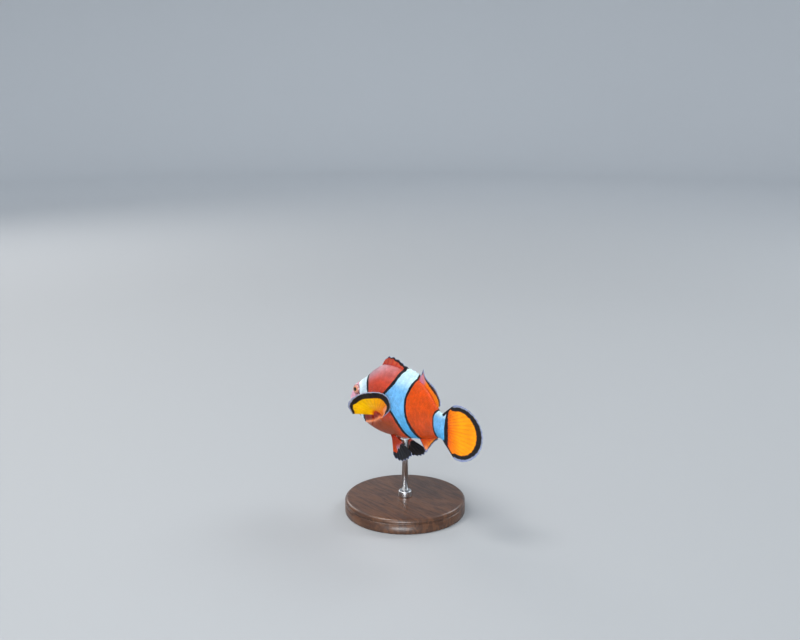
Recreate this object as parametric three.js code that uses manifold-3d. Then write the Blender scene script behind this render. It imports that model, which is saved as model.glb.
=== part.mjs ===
// A clownfish, life size, swimming in a gentle S curve, on a display stand.
// Millimetres, +Z up, origin at the middle of the stand's underside.
// The fish heads along -X and its left flank faces -Y.
//
// Everything on the fish is first made straight, in body coordinates
// [u, h, l]: u runs along the spine from the snout, h is up from it and
// l is to the fish's left. placeOnFish() then bends each piece along the
// spine's curve and sets it at its height over the stand.

import * as THREE from 'three';
import { mergeVertices } from 'three/addons/utils/BufferGeometryUtils.js';
import Module from 'manifold-3d';

// ---- driving dimensions ----

const BODY_LENGTH = 62; // snout to the root of the tail fin
const TAIL_FIN_END = 79.2;
const BALANCE_POINT = 31; // along the spine, where the rod meets the belly
const BELLY_HEIGHT = 30.5; // the belly over the floor, at the balance point
const NOSE_DOWN = 2.8; // degrees

const GAP = 0.3; // between neighbouring pieces
const FIN_THICKNESS = 0.55;

// Heading of the spine in degrees, and where along it the heading turns.
const HEAD_HEADING = 3.2;
const REAR_HEADING = -25.4;
const TAIL_HEADING = 11.3;
const REAR_TURN = [31.7, 59.5];
const TAIL_TURN = [54.4, 69.6];

// The body's outline: [u, back above the spine, belly below it, half width].
const OUTLINE = [
  [0, 0, 0, 0],
  [1.2, 3.4, 2.9, 1.9],
  [5.3, 7.4, 6.5, 4.0],
  [11.6, 11.4, 10.2, 5.5],
  [16.0, 14.6, 11.3, 6.05],
  [21.7, 16.7, 11.9, 6.4],
  [31.8, 15.9, 11.5, 6.0],
  [43.1, 12.4, 9.3, 4.3],
  [53.2, 6.7, 6.3, 2.3],
  [58.2, 5.4, 5.2, 1.6],
  [62.0, 5.7, 5.9, 1.1],
];
const HEAD_PINCH = -0.04; // below 0 the section is boxy, above 0 it is lens-shaped
const REAR_PINCH = 0.16;
const BODY_SIDES = 30;

// Where the body is divided, along the spine.
const HEAD_END = 20;
const TRUNK_MIDDLE = 34;
const STALK_START = 51;

// Head pieces.
const EYE = { u: 7.6, h: 4.9, radius: 2.6, depth: 1.35 }; // depth sunk under the cheek
const MOUTH_CORNER = { u: 3.6, h: -1.7 };
const JAW_HINGE = { u: 7.6, h: -10.5 };
const GILL_COVER = { u: 14.9, h: -1.6, length: 8.0, height: 14.0, lean: -10, depth: 1.3 };

// Stand.
const BASE_RADIUS = 24;
const BASE_THICKNESS = 6;
const BASE_EDGE = 1.2;
const ROD_RADIUS = 1.25;
const COLLAR_RADIUS = 2.6;
const COLLAR_HEIGHT = 2.2;
const ROUND_SIDES = 40;

// ---- materials ----

function material(colour, roughness, metalness = 0) {
  return new THREE.MeshStandardMaterial({ color: colour, roughness, metalness });
}

const ORANGE = material(0xd85a1c, 0.5);
const BRIGHT_ORANGE = material(0xf29a12, 0.5);
const WHITE = material(0xcfe6f2, 0.45);
const DARK = material(0x1a1512, 0.5);
const EYE_BROWN = material(0x8a4a22, 0.15);
const WALNUT = material(0x4a2f1e, 0.45);
const STEEL = material(0xb8bcc0, 0.3, 1);

// ---- curves ----

const RADIANS = Math.PI / 180;

function mix(a, b, t) {
  return a + (b - a) * t;
}

function smoothStep(x) {
  const t = Math.min(Math.max(x, 0), 1);
  return t * t * (3 - 2 * t);
}

// A smooth curve through points (xs[i], ys[i]), read at x.
function through(xs, ys, x) {
  const last = xs.length - 1;
  let i = 0;
  while (i < last - 1 && x > xs[i + 1]) i += 1;
  const slope = (a, b) => (ys[b] - ys[a]) / (xs[b] - xs[a]);
  const startSlope = slope(Math.max(i - 1, 0), i + 1);
  const endSlope = slope(i, Math.min(i + 2, last));
  const width = xs[i + 1] - xs[i];
  const t = (x - xs[i]) / width;
  const rise = ys[i + 1] - ys[i];
  const bend = width * startSlope - rise;
  const counterBend = width * endSlope - rise;
  return mix(ys[i], ys[i + 1], t) + t * (1 - t) * (bend * (1 - t) - counterBend * t);
}

// A smooth curve through evenly spaced vectors, read at t from 0 to 1.
function throughVectors(vectors, t) {
  const places = vectors.map((_, i) => i / (vectors.length - 1));
  return [0, 1, 2].map((axis) => through(places, vectors.map((v) => v[axis] ?? 0), t));
}

// ---- the body's outline ----

// The outline is read on the square root of the station, so that the snout is round.
const OUTLINE_ROOTS = OUTLINE.map((row) => Math.sqrt(row[0]));

function outline(column, u) {
  return through(OUTLINE_ROOTS, OUTLINE.map((row) => row[column]), Math.sqrt(u));
}

const back = (u) => outline(1, u);
const belly = (u) => -outline(2, u);
const halfWidth = (u) => outline(3, u);
const pinch = (u) => mix(HEAD_PINCH, REAR_PINCH, smoothStep(u / TRUNK_MIDDLE));

// A point of the body's section at u; the angle turns from the left flank to the belly.
function sectionPoint(u, angle, inset = 0) {
  const middle = (back(u) + belly(u)) / 2;
  const halfHeight = (back(u) - belly(u)) / 2;
  const rise = -Math.sin(angle);
  const width = Math.max(halfWidth(u) - inset, 0.05);
  return [u, middle + halfHeight * rise, width * Math.cos(angle) * (1 - pinch(u) * rise * rise)];
}

// How far the flank stands out from the spine at u and h.
function flank(u, h) {
  const middle = (back(u) + belly(u)) / 2;
  const halfHeight = (back(u) - belly(u)) / 2;
  const rise = Math.min(Math.max((h - middle) / halfHeight, -1), 1);
  return halfWidth(u) * Math.sqrt(1 - rise * rise) * (1 - pinch(u) * rise * rise);
}

// ---- the spine's curve ----

function heading(u) {
  const rear = smoothStep((u - REAR_TURN[0]) / (REAR_TURN[1] - REAR_TURN[0]));
  const tail = smoothStep((u - TAIL_TURN[0]) / (TAIL_TURN[1] - TAIL_TURN[0]));
  const toRear = (REAR_HEADING - HEAD_HEADING) * rear;
  const toTail = (TAIL_HEADING - REAR_HEADING) * tail;
  return (HEAD_HEADING + toRear + toTail) * RADIANS;
}

const SPINE_STEP = 0.25;

function makeSpine() {
  const points = [[0, 0]];
  for (let u = 0; u < TAIL_FIN_END + 6; u += SPINE_STEP) {
    const [x, y] = points.at(-1);
    const turn = heading(u + SPINE_STEP / 2);
    points.push([x + SPINE_STEP * Math.cos(turn), y + SPINE_STEP * Math.sin(turn)]);
  }
  return points;
}

const SPINE = makeSpine();

function spineAt(u) {
  const place = Math.max(u, 0) / SPINE_STEP;
  const i = Math.min(Math.floor(place), SPINE.length - 2);
  const [x0, y0] = SPINE[i];
  const [x1, y1] = SPINE[i + 1];
  const lead = Math.min(u, 0);
  const x = mix(x0, x1, place - i) + lead * Math.cos(heading(0));
  const y = mix(y0, y1, place - i) + lead * Math.sin(heading(0));
  return [x, y];
}

const BALANCE = spineAt(BALANCE_POINT);
const BALANCE_BELLY = belly(BALANCE_POINT);

// From body coordinates to the finished model's own.
function placeOnFish([u, h, l]) {
  const [spineX, spineY] = spineAt(u);
  const turn = heading(u);
  const x = spineX - BALANCE[0] + l * Math.sin(turn);
  const y = spineY - BALANCE[1] - l * Math.cos(turn);
  const rise = h - BALANCE_BELLY;
  const pitch = NOSE_DOWN * RADIANS;
  return [
    x * Math.cos(pitch) - rise * Math.sin(pitch),
    y,
    BELLY_HEIGHT + rise * Math.cos(pitch) + x * Math.sin(pitch),
  ];
}

// ---- closed meshes ----

function meshFrom(points, triangles) {
  const geometry = new THREE.BufferGeometry();
  geometry.setAttribute('position', new THREE.Float32BufferAttribute(points.flat(), 3));
  geometry.setIndex(triangles.flat());
  return geometry;
}

// Two triangles over the four corners a, b, c, d, in turn round the face.
function quad(a, b, c, d) {
  return [[a, b, c], [a, c, d]];
}

// A closed body through rings of equally many points, each ring a loop round the u axis.
function loft(rings) {
  const sides = rings[0].length;
  const points = rings.flat();
  const triangles = [];
  for (let ring = 0; ring < rings.length - 1; ring += 1) {
    for (let side = 0; side < sides; side += 1) {
      const next = (side + 1) % sides;
      const here = ring * sides;
      const there = here + sides;
      triangles.push(...quad(here + side, here + next, there + next, there + side));
    }
  }
  addCap(points, triangles, rings[0], 0, false);
  addCap(points, triangles, rings.at(-1), (rings.length - 1) * sides, true);
  return meshFrom(points, triangles);
}

function addCap(points, triangles, ring, start, faceForward) {
  const centre = points.length;
  points.push([0, 1, 2].map((axis) => ring.reduce((sum, p) => sum + p[axis], 0) / ring.length));
  for (let side = 0; side < ring.length; side += 1) {
    const next = (side + 1) % ring.length;
    const rim = faceForward ? [start + side, start + next] : [start + next, start + side];
    triangles.push([centre, ...rim]);
  }
}

// The body between two stations, with its flanks drawn in by inset.
function bodyLength(from, to, ringCount, inset = 0) {
  const rings = [];
  for (let i = 0; i <= ringCount; i += 1) {
    const root = mix(Math.sqrt(from), Math.sqrt(to), i / ringCount);
    const u = root * root;
    const ring = [];
    for (let side = 0; side < BODY_SIDES; side += 1) {
      ring.push(sectionPoint(u, (2 * Math.PI * side) / BODY_SIDES, inset));
    }
    rings.push(ring);
  }
  return loft(rings);
}

// A prism across the fish: an outline of [u, h] points, from l0 to l1.
function prismAcross(corners, l0, l1) {
  const near = corners.map(([u, h]) => [u, h, l0]);
  const far = corners.map(([u, h]) => [u, h, l1]);
  const count = corners.length;
  const triangles = [];
  for (let i = 0; i < count; i += 1) {
    const next = (i + 1) % count;
    triangles.push(...quad(i, next, count + next, count + i));
  }
  const points = [...near, ...far];
  addCap(points, triangles, near, 0, false);
  addCap(points, triangles, far, count, true);
  return meshFrom(points, triangles);
}

function ellipseCorners({ u, h, length, height, lean }, grow, count) {
  const corners = [];
  for (let i = 0; i < count; i += 1) {
    const angle = (2 * Math.PI * i) / count;
    const across = (length / 2 + grow) * Math.cos(angle);
    const along = (height / 2 + grow) * Math.sin(angle);
    const turn = lean * RADIANS;
    corners.push([
      u + across * Math.cos(turn) - along * Math.sin(turn),
      h + across * Math.sin(turn) + along * Math.cos(turn),
    ]);
  }
  return corners;
}

// ---- joining and cutting ----

const wasm = await Module();
wasm.setup();

function solid(geometry) {
  const plain = geometry.clone();
  plain.deleteAttribute('normal');
  plain.deleteAttribute('uv');
  const merged = mergeVertices(plain, 1e-5);
  return new wasm.Manifold(new wasm.Mesh({
    numProp: 3,
    vertProperties: new Float32Array(merged.attributes.position.array),
    triVerts: new Uint32Array(merged.index.array),
  }));
}

function geometryOf(cut) {
  const mesh = cut.getMesh();
  const geometry = new THREE.BufferGeometry();
  geometry.setAttribute('position', new THREE.BufferAttribute(mesh.vertProperties, 3));
  geometry.setIndex(new THREE.BufferAttribute(mesh.triVerts, 1));
  return geometry;
}

// ---- the model ----

const model = new THREE.Group();
model.name = 'clownfish_on_stand';

function addPiece(name, geometry, look) {
  const mesh = new THREE.Mesh(geometry, look);
  mesh.name = name;
  model.add(mesh);
}

// Bends a piece made in body coordinates onto the fish.
function addFishPiece(name, geometry, look) {
  const place = geometry.attributes.position;
  for (let i = 0; i < place.count; i += 1) {
    place.setXYZ(i, ...placeOnFish([place.getX(i), place.getY(i), place.getZ(i)]));
  }
  geometry.computeVertexNormals();
  addPiece(name, geometry, look);
}

// ---- head ----

function eyeCentre(side) {
  const outward = flank(EYE.u, EYE.h) - EYE.depth;
  return new THREE.Vector3(EYE.u, EYE.h, side * outward);
}

function eyeBall(side, radius) {
  const ball = new THREE.SphereGeometry(radius, 16, 10);
  const centre = eyeCentre(side);
  return ball.rotateX(Math.PI / 2).translate(centre.x, centre.y, centre.z);
}

// The wedge of chin under the mouth, cut off by the mouth line and a line to the throat.
function jawCorners(grow) {
  return [
    [MOUTH_CORNER.u + grow, MOUTH_CORNER.h + grow],
    [-3, grow],
    [-3, -16],
    [JAW_HINGE.u + grow, -16],
    [JAW_HINGE.u + grow, JAW_HINGE.h],
  ];
}

const COVER_CORNERS = 28;

function buildHead() {
  const whole = solid(bodyLength(0.02, HEAD_END - GAP / 2, 16));
  const jawWedge = solid(prismAcross(jawCorners(0), -12, 12));
  const jawRoom = solid(prismAcross(jawCorners(GAP), -12, 12));
  const core = solid(bodyLength(1, HEAD_END + 2, 14, GILL_COVER.depth));
  const deepCore = solid(bodyLength(1, HEAD_END + 2, 14, GILL_COVER.depth + GAP));
  let head = whole.subtract(jawRoom);
  for (const [side, name] of [[1, 'left'], [-1, 'right']]) {
    const reach = [0.5, 12].map((l) => side * l).sort((a, b) => a - b);
    const plate = solid(prismAcross(ellipseCorners(GILL_COVER, 0, COVER_CORNERS), ...reach));
    const room = solid(prismAcross(ellipseCorners(GILL_COVER, GAP, COVER_CORNERS), ...reach));
    const cover = whole.intersect(plate).subtract(core);
    head = head.subtract(room.subtract(deepCore)).subtract(solid(eyeBall(side, EYE.radius + GAP)));
    addFishPiece(`gill_cover_${name}`, geometryOf(cover), ORANGE);
    addFishPiece(`eye_${name}`, eyeBall(side, EYE.radius), EYE_BROWN);
  }
  addFishPiece('head', geometryOf(head), ORANGE);
  addFishPiece('lower_jaw', geometryOf(whole.intersect(jawWedge)), ORANGE);
}

// ---- trunk and tail stalk ----

function buildTrunk() {
  const front = bodyLength(HEAD_END + GAP / 2, TRUNK_MIDDLE - GAP / 2, 7);
  const rear = bodyLength(TRUNK_MIDDLE + GAP / 2, STALK_START - GAP / 2, 11);
  const stalk = bodyLength(STALK_START + GAP / 2, BODY_LENGTH - GAP / 2, 9);
  addFishPiece('trunk_front', front, WHITE);
  addFishPiece('trunk_rear', rear, ORANGE);
  addFishPiece('tail_stalk', stalk, WHITE);
}

// ---- fins ----

// A fin is a fan of rays. base(t) is where the ray at t starts, t running from 0 at
// the first ray to 1 at the last. rays are vectors to the tips of evenly spaced rays.
function finSurface({ base, rays }, t, r) {
  const ray = throughVectors(rays, t);
  return base(t).map((value, axis) => value + ray[axis] * r);
}

function finNormal(fin, t, r) {
  const step = 0.01;
  const along = (a, b) => new THREE.Vector3(...b).sub(new THREE.Vector3(...a));
  const clamped = (x) => Math.min(Math.max(x, step), 1 - step);
  const [tc, rc] = [clamped(t), clamped(r)];
  const acrossRays = along(finSurface(fin, tc - step, rc), finSurface(fin, tc + step, rc));
  const alongRay = along(finSurface(fin, tc, rc - step), finSurface(fin, tc, rc + step));
  return acrossRays.cross(alongRay).normalize();
}

// A plate over the fan: its two faces, and walls along its four edges.
function finPlate(fin, rayCount, lengthCount) {
  const points = [];
  for (const face of [1, -1]) {
    for (let i = 0; i <= rayCount; i += 1) {
      for (let j = 0; j <= lengthCount; j += 1) {
        const [t, r] = [i / rayCount, j / lengthCount];
        const middle = finSurface(fin, t, r);
        const normal = finNormal(fin, t, r);
        const offset = (face * FIN_THICKNESS) / 2;
        points.push(middle.map((value, axis) => value + offset * normal.getComponent(axis)));
      }
    }
  }
  const row = lengthCount + 1;
  const under = (rayCount + 1) * row;
  const triangles = [];
  for (let i = 0; i < rayCount; i += 1) {
    for (let j = 0; j < lengthCount; j += 1) {
      const corner = i * row + j;
      triangles.push(...quad(corner, corner + row, corner + row + 1, corner + 1));
      const low = under + corner;
      triangles.push(...quad(low, low + 1, low + row + 1, low + row));
    }
  }
  const rim = [];
  for (let i = 0; i < rayCount; i += 1) rim.push(i * row);
  for (let j = 0; j < lengthCount; j += 1) rim.push(rayCount * row + j);
  for (let i = rayCount; i > 0; i -= 1) rim.push(i * row + lengthCount);
  for (let j = lengthCount; j > 0; j -= 1) rim.push(j);
  rim.forEach((a, i) => {
    const b = rim[(i + 1) % rim.length];
    triangles.push(...quad(a, under + a, under + b, b));
  });
  return meshFrom(points, triangles);
}

const FIN_CLEARANCE = GAP + 0.1;

// The root of a fin along the back or the belly, just clear of the body.
function rootAlong(edge, from, to, side) {
  return (t) => {
    const u = mix(from, to, t);
    return [u, edge(u) + side * FIN_CLEARANCE, 0];
  };
}

const SPINY_DORSAL = {
  base: rootAlong(back, 18.6, 40.0, 1),
  rays: [[1.8, 1.9], [1.7, 3.4], [2.5, 2.8], [2.9, 1.5], [3.0, 1.1], [2.6, 1.2], [1.2, 2.0]],
};

const SOFT_DORSAL = {
  base: rootAlong(back, 40.7, 54.4, 1),
  rays: [[3.4, 5.1], [2.4, 3.0], [3.2, 2.2], [4.8, 2.6], [6.6, 3.1], [6.9, 2.6], [4.0, 0.9]],
};

const ANAL = {
  base: rootAlong(belly, 39.6, 52.4, -1),
  rays: [[4.2, -4.5], [3.4, -2.8], [3.5, -1.4], [3.6, -0.3], [3.4, 0.4], [2.4, 0.6]],
};

// The tail fin's rays end on an ellipse.
const TAIL_FIN = { root: BODY_LENGTH + GAP, rootTop: 5.5, rootBottom: -5.7 };
const TAIL_MARGIN = { u: 69.4, h: -0.6, halfLength: 9.8, halfHeight: 10.7, openAt: 104 };

function tailRay(t) {
  const angle = mix(TAIL_MARGIN.openAt, -TAIL_MARGIN.openAt, t) * RADIANS;
  const tipU = TAIL_MARGIN.u + TAIL_MARGIN.halfLength * Math.cos(angle);
  const tipH = TAIL_MARGIN.h + TAIL_MARGIN.halfHeight * Math.sin(angle);
  return [tipU - TAIL_FIN.root, tipH - mix(TAIL_FIN.rootTop, TAIL_FIN.rootBottom, t), 0];
}

const CAUDAL = {
  base: (t) => [TAIL_FIN.root, mix(TAIL_FIN.rootTop, TAIL_FIN.rootBottom, t), 0],
  rays: Array.from({ length: 17 }, (_, i) => tailRay(i / 16)),
};

// The left pectoral fin is raised and cupped over its arched root; the right one trails.
const RAISED_ROOT = [[19.2, -3.3], [19.8, -1.9], [21.2, -1.5], [22.4, -2.6], [22.8, -4.2]];
const RAISED_RAYS = [
  [0.5, 3.5, 12.4],
  [-0.5, 6.8, 12.4],
  [2.3, 9.6, 9.8],
  [5.4, 10.6, 6.9],
  [7.6, 9.9, 3.3],
  [8.2, 7.8, 0.9],
  [7.8, 4.8, 0.8],
  [3.3, 1.7, 0.9],
];
const TRAILING_ROOT = [[21.7, -1.4], [20.3, -4.9]];
const TRAILING_RAYS = [
  [9.5, 2.5, 2.6],
  [12.6, 1.4, 4.6],
  [12.8, -0.8, 5.8],
  [10.4, -3.4, 6.0],
  [5.8, -4.6, 4.8],
];
const PELVIC_ROOT = [[24.6, 0.9], [26.8, 2.0]]; // along the spine, and out from the midline
const PELVIC_RAYS = [[3.0, -7.6, 2.4], [7.0, -8.0, 2.8], [10.8, -6.6, 2.4], [13.6, -4.2, 1.8]];

// The rays of a fin on the left, turned to the given side.
function onSide(side, rays) {
  return rays.map(([u, h, l]) => [u, h, side * l]);
}

function pectoralFin(side, root, rays) {
  return {
    base: (t) => {
      const [u, h] = throughVectors(root, t);
      return [u, h, side * (flank(u, h) + FIN_CLEARANCE)];
    },
    rays: onSide(side, rays),
  };
}

function pelvicFin(side) {
  const [from, to] = PELVIC_ROOT;
  return {
    base: (t) => {
      const [u, l] = [mix(from[0], to[0], t), mix(from[1], to[1], t)];
      const rise = Math.sqrt(1 - (l / halfWidth(u)) ** 2);
      const middle = (back(u) + belly(u)) / 2;
      return [u, middle + (belly(u) - middle) * rise - FIN_CLEARANCE, side * l];
    },
    rays: onSide(side, PELVIC_RAYS),
  };
}

function buildFins() {
  addFishPiece('dorsal_fin_spiny', finPlate(SPINY_DORSAL, 22, 3), ORANGE);
  addFishPiece('dorsal_fin_soft', finPlate(SOFT_DORSAL, 18, 4), ORANGE);
  addFishPiece('anal_fin', finPlate(ANAL, 18, 4), ORANGE);
  addFishPiece('tail_fin', finPlate(CAUDAL, 26, 8), BRIGHT_ORANGE);
  const raised = pectoralFin(1, RAISED_ROOT, RAISED_RAYS);
  const trailing = pectoralFin(-1, TRAILING_ROOT, TRAILING_RAYS);
  addFishPiece('pectoral_fin_left', finPlate(raised, 18, 6), BRIGHT_ORANGE);
  addFishPiece('pectoral_fin_right', finPlate(trailing, 18, 6), BRIGHT_ORANGE);
  addFishPiece('pelvic_fin_left', finPlate(pelvicFin(1), 10, 6), DARK);
  addFishPiece('pelvic_fin_right', finPlate(pelvicFin(-1), 10, 6), DARK);
}

// ---- stand ----

function turned(profile) {
  const points = profile.map(([radius, height]) => new THREE.Vector2(radius, height));
  return new THREE.LatheGeometry(points, ROUND_SIDES).rotateX(Math.PI / 2);
}

function buildStand() {
  const edge = BASE_THICKNESS - BASE_EDGE;
  const inner = BASE_RADIUS - BASE_EDGE;
  const top = BASE_THICKNESS;
  const base = [[0, 0], [BASE_RADIUS, 0], [BASE_RADIUS, edge], [inner, top], [0, top]];
  addPiece('stand_base', turned(base), WALNUT);

  const foot = top + GAP;
  const rodTop = BELLY_HEIGHT - GAP;
  const rod = [[0, foot], [ROD_RADIUS, foot], [ROD_RADIUS, rodTop], [0, rodTop]];
  addPiece('stand_rod', turned(rod), STEEL);

  const bore = ROD_RADIUS + GAP;
  const collarTop = foot + COLLAR_HEIGHT;
  const outside = [[bore, foot], [COLLAR_RADIUS, foot], [COLLAR_RADIUS, collarTop]];
  const inside = [[bore, collarTop], [bore, foot]];
  addPiece('stand_collar', turned([...outside, ...inside]), STEEL);
}

buildHead();
buildTrunk();
buildFins();
buildStand();

export default model;
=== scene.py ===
"""The looks of a life-size clownfish on a plain display stand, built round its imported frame.

The fish is made straight, in body coordinates (u, h, l) in millimetres: u runs along the
spine from the snout, h is up from it and l is to the fish's left. place() bends it along
the spine's curve and turns it into the frame's metres.
"""

import math
from dataclasses import dataclass
from typing import Callable

import bpy
import numpy as np
from mathutils import Matrix, Vector


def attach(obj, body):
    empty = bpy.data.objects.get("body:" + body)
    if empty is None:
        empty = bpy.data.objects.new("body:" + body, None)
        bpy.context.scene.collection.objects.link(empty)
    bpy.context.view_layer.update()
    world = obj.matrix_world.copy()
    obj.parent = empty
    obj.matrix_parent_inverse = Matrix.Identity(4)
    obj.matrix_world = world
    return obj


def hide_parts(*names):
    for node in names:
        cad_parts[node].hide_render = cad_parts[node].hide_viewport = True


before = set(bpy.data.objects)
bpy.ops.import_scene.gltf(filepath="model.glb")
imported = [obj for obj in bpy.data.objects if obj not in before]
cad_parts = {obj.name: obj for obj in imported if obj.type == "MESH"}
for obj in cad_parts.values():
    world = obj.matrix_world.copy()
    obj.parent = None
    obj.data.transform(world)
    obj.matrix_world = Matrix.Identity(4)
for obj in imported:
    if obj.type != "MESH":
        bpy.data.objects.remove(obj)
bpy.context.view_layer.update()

MM = 0.001
BODY = "root"
SIDES = (("left", 1), ("right", -1))
rng = np.random.default_rng(7)

# ---- sizes that the frame was built with, in millimetres ----

BODY_LENGTH = 62.0
BALANCE_POINT = 31.0
BELLY_HEIGHT = 30.5
NOSE_DOWN = math.radians(2.8)
HEAD_HEADING = 3.2
REAR_HEADING = -25.4
TAIL_HEADING = 11.3
REAR_TURN = (31.7, 59.5)
TAIL_TURN = (54.4, 69.6)

# The body's outline: [u, back above the spine, belly below it, half width].
OUTLINE = np.array([
    [0, 0, 0, 0],
    [1.2, 3.4, 2.9, 1.9],
    [5.3, 7.4, 6.5, 4.0],
    [11.6, 11.4, 10.2, 5.5],
    [16.0, 14.6, 11.3, 6.05],
    [21.7, 16.7, 11.9, 6.4],
    [31.8, 15.9, 11.5, 6.0],
    [43.1, 12.4, 9.3, 4.3],
    [53.2, 6.7, 6.3, 2.3],
    [58.2, 5.4, 5.2, 1.6],
    [62.0, 5.7, 5.9, 1.1],
])
HEAD_PINCH = -0.04
REAR_PINCH = 0.16
HEAD_END = 20.0
TRUNK_MIDDLE = 34.0
EYE_U, EYE_H, EYE_RADIUS, EYE_DEPTH = 7.6, 4.9, 2.6, 1.35
GILL_U, GILL_H, GILL_LENGTH, GILL_HEIGHT, GILL_LEAN = 14.9, -1.6, 8.0, 14.0, math.radians(-10)
FIN_CLEARANCE = 0.4

# ---- sizes of the looks, in millimetres ----

COAT_DEPTH = 0.22
SKIN_START, TAPER_START, SKIN_END = 0.02, 60.0, 64.3
SKIN_END_WIDTH, SKIN_END_CURVE = 0.26, 1.3
SKIN_SIDES = 320
HEAD_RINGS = 170
BODY_RINGS = 124
SCALE_PITCH = 1.02  # along a row, on the middle of the trunk
SCALE_ROW = 0.9  # between rows, likewise


# ---- curves ----

def smooth(x):
    """0 below 0, 1 above 1 and a smooth rise between."""
    t = np.clip(x, 0, 1)
    return t * t * (3 - 2 * t)


def mix(a, b, t):
    return a + (b - a) * t


def ridge(distance, width):
    """1 on a line and falling to 0 beside it."""
    return np.exp(-(distance / width) ** 2)


def unit(vectors):
    return vectors / np.maximum(np.linalg.norm(vectors, axis=-1, keepdims=True), 1e-9)


def through(xs, ys, x):
    """A smooth curve through points (xs[i], ys[i]), read at x."""
    xs, ys = np.asarray(xs, float), np.asarray(ys, float)
    last = len(xs) - 1
    i = np.clip(np.searchsorted(xs, x, side="left") - 1, 0, last - 1)
    before, after = np.maximum(i - 1, 0), np.minimum(i + 2, last)
    start_slope = (ys[i + 1] - ys[before]) / (xs[i + 1] - xs[before])
    end_slope = (ys[after] - ys[i]) / (xs[after] - xs[i])
    width = xs[i + 1] - xs[i]
    t = (x - xs[i]) / width
    rise = ys[i + 1] - ys[i]
    bend = width * start_slope - rise
    counter_bend = width * end_slope - rise
    return ys[i] + rise * t + t * (1 - t) * (bend * (1 - t) - counter_bend * t)


def through_vectors(vectors, t):
    """A smooth curve through evenly spaced vectors, read at t from 0 to 1."""
    vectors = np.array([list(v) + [0] * (3 - len(v)) for v in vectors], float)
    places = np.linspace(0, 1, len(vectors))
    return np.stack([through(places, vectors[:, axis], t) for axis in range(3)], -1)


# ---- the body and its spine, as in the frame ----

def outline(column, u):
    within = np.clip(u, 0, BODY_LENGTH)
    return through(np.sqrt(OUTLINE[:, 0]), OUTLINE[:, column], np.sqrt(within))


def back(u):
    return outline(1, u)


def belly(u):
    return -outline(2, u)


def half_width(u):
    return outline(3, u)


def section(u):
    """The middle and half the height of the body's section."""
    return (back(u) + belly(u)) / 2, (back(u) - belly(u)) / 2


def pinch(u):
    """How much the section's sides draw in towards the back and the belly."""
    return mix(HEAD_PINCH, REAR_PINCH, smooth(u / TRUNK_MIDDLE))


def flank(u, h):
    """How far the flank stands out from the spine at u and h."""
    middle, half_height = section(u)
    rise = np.clip((h - middle) / half_height, -1, 1)
    return half_width(u) * np.sqrt(1 - rise ** 2) * (1 - pinch(u) * rise ** 2)


def heading(u):
    rear = smooth((u - REAR_TURN[0]) / (REAR_TURN[1] - REAR_TURN[0]))
    tail = smooth((u - TAIL_TURN[0]) / (TAIL_TURN[1] - TAIL_TURN[0]))
    turn = HEAD_HEADING + (REAR_HEADING - HEAD_HEADING) * rear + (TAIL_HEADING - REAR_HEADING) * tail
    return np.radians(turn)


SPINE_STEP = 0.25
SPINE_U = np.arange(0, 90, SPINE_STEP)
STEP_TURN = heading(SPINE_U + SPINE_STEP / 2)
SPINE_STEPS = SPINE_STEP * np.stack([np.cos(STEP_TURN), np.sin(STEP_TURN)])
SPINE_XY = np.cumsum(np.insert(SPINE_STEPS, 0, 0, axis=1), axis=1)[:, :-1]


def place(points):
    """From body coordinates to the frame's metres."""
    u, h, l = np.moveaxis(np.asarray(points, float), -1, 0)
    turn = heading(u)
    x, y = [np.interp(u, SPINE_U, row) - np.interp(BALANCE_POINT, SPINE_U, row) for row in SPINE_XY]
    ahead = np.minimum(u, 0)
    x = x + ahead * np.cos(turn) + l * np.sin(turn)
    y = y + ahead * np.sin(turn) - l * np.cos(turn)
    rise = h - belly(BALANCE_POINT)
    across = x * np.cos(NOSE_DOWN) - rise * np.sin(NOSE_DOWN)
    upward = BELLY_HEIGHT + rise * np.cos(NOSE_DOWN) + x * np.sin(NOSE_DOWN)
    return np.stack([across, y, upward], -1) * MM


# ---- meshes ----

def smooth_object(name, points, faces, material):
    """A smooth-shaded object in the scene. points are in the frame's metres."""
    mesh = bpy.data.meshes.new(name)
    mesh.from_pydata(points.tolist(), [], faces)
    mesh.polygons.foreach_set("use_smooth", [True] * len(mesh.polygons))
    mesh.materials.append(material)
    made = bpy.data.objects.new(name, mesh)
    bpy.context.scene.collection.objects.link(made)
    return made


def make_piece(name, points, faces, material, replaced=(), marks=None, corner_uv=None):
    """A piece that rides on the body and stands for the frame's nodes in replaced.

    marks are its point attributes: a colour where a value has three parts, or else a number.
    """
    piece = smooth_object(name, points, faces, material)
    mesh = piece.data
    for key, values in (marks or {}).items():
        if values.ndim == 2:
            colours = np.column_stack([values, np.ones(len(values))])
            mesh.attributes.new(key, "FLOAT_COLOR", "POINT").data.foreach_set("color", colours.ravel())
        else:
            mesh.attributes.new(key, "FLOAT", "POINT").data.foreach_set("value", values.ravel())
    if corner_uv is not None:
        mesh.uv_layers.new(name="OFBake").data.foreach_set("uv", corner_uv.ravel())
    mesh.update()
    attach(piece, BODY)
    if replaced:
        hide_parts(*replaced)


def grid_faces(rows, columns, wrap=False, start=0):
    """Quads over a grid of points, each from a row to the next and then round its column."""
    i, j = np.meshgrid(np.arange(rows - 1), np.arange(columns - (0 if wrap else 1)), indexing="ij")
    after = (j + 1) % columns
    corners = [i * columns + j, (i + 1) * columns + j, (i + 1) * columns + after, i * columns + after]
    return np.stack(corners, -1).reshape(-1, 4) + start


def fan_faces(centre, ring):
    """Triangles from a centre point to each edge of a ring of points."""
    ring = list(ring)
    return [[centre, a, b] for a, b in zip(ring, ring[1:] + ring[:1])]


def around(sides):
    """Evenly spaced angles, once round."""
    return 2 * math.pi * np.arange(sides) / sides


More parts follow.
